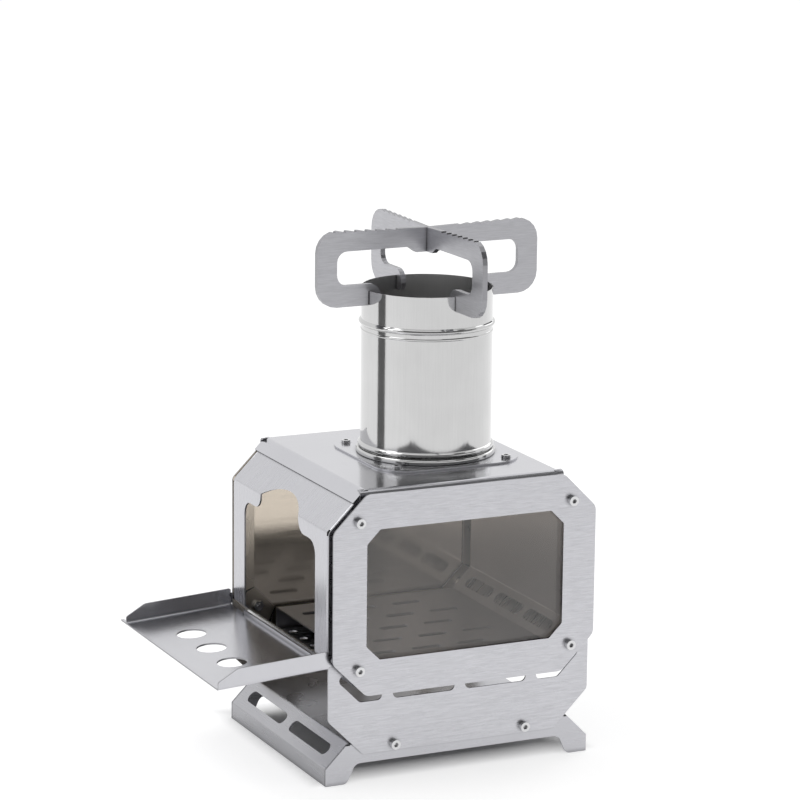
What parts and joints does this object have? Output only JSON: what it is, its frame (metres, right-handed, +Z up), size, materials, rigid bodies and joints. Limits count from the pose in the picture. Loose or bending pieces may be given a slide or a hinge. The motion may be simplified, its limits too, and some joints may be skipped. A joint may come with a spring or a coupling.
{
  "type": "tent wood stove",
  "caption": "Small folded-steel wood stove with a glass front, a drop-down feed tray that closes the mouth at its left end, a short flue pipe and a slotted pot cross.",
  "frame": {"origin": "centre of the stand's footprint, on the ground", "axes": "+X along the window, away from the feed tray; +Y from the window to the closed rear side; +Z up"},
  "size_m": [0.2259, 0.1553, 0.2965],
  "materials": {
    "shell_steel": "satin, slightly heat-tinted folded sheet",
    "stand_steel": "satin folded sheet",
    "side_plate_steel": "brushed sheet",
    "window_glass": "heat-resistant pane with a brown-grey tint",
    "frame_steel": "brushed along the window",
    "spacer_steel": "turned",
    "screw_steel": "bright cap screw",
    "nut_steel": "bright hexagon nut",
    "grate_steel": "plain sheet",
    "pin_steel": "turned",
    "door_steel": "smooth, soft sheen",
    "cover_steel": "smooth, soft sheen",
    "collar_steel": "brushed sheet",
    "ring_steel": "turned and polished steel",
    "button_screw_steel": "bright button screw",
    "pipe_steel": "polished steel tube",
    "cross_steel": "satin cut plate"
  },
  "bodies": {
    "body": {"shell": "shell_steel", "stand": "stand_steel", "side_plate_front": "side_plate_steel", "side_plate_rear": "side_plate_steel", "glass": "window_glass", "frame_plate": "frame_steel", "spacers": "spacer_steel", "frame_screws": "screw_steel", "frame_nuts": "nut_steel", "plate_screws": "screw_steel", "plate_nuts": "nut_steel", "skirt_screws_front": "screw_steel", "skirt_screws_rear": "screw_steel", "grate": "grate_steel", "hinge_pins": "pin_steel"},
    "tray": {"door": "door_steel"},
    "cover": {"top_cover": "cover_steel", "collar_plate": "collar_steel", "collar_ring": "ring_steel", "collar_screws": "button_screw_steel", "collar_nuts": "nut_steel"},
    "flue": {"pipe": "pipe_steel"},
    "cross": {"cross_plate_short": "cross_steel"},
    "cross_top": {"cross_plate_long": "cross_steel"}
  },
  "joints": [
    {"name": "tray_hinge", "type": "hinge", "parent": "body", "child": "tray", "pos_m": [-0.0765, 0, 0.0724], "axis": [0, 1, 0], "range_deg": [0, 93.5]},
    {"name": "cover_lift", "type": "slide", "parent": "body", "child": "cover", "axis": [0, 0, 1], "range_m": [0, 0.03]},
    {"name": "pipe_lift", "type": "slide", "parent": "cover", "child": "flue", "axis": [0, 0, 1], "range_m": [0, 0.04]},
    {"name": "cross_lift", "type": "slide", "parent": "flue", "child": "cross", "axis": [0, 0, 1], "range_m": [0, 0.03]},
    {"name": "cross_top_lift", "type": "slide", "parent": "cross", "child": "cross_top", "axis": [0, 0, 1], "range_m": [0, 0.025]}
  ]
}
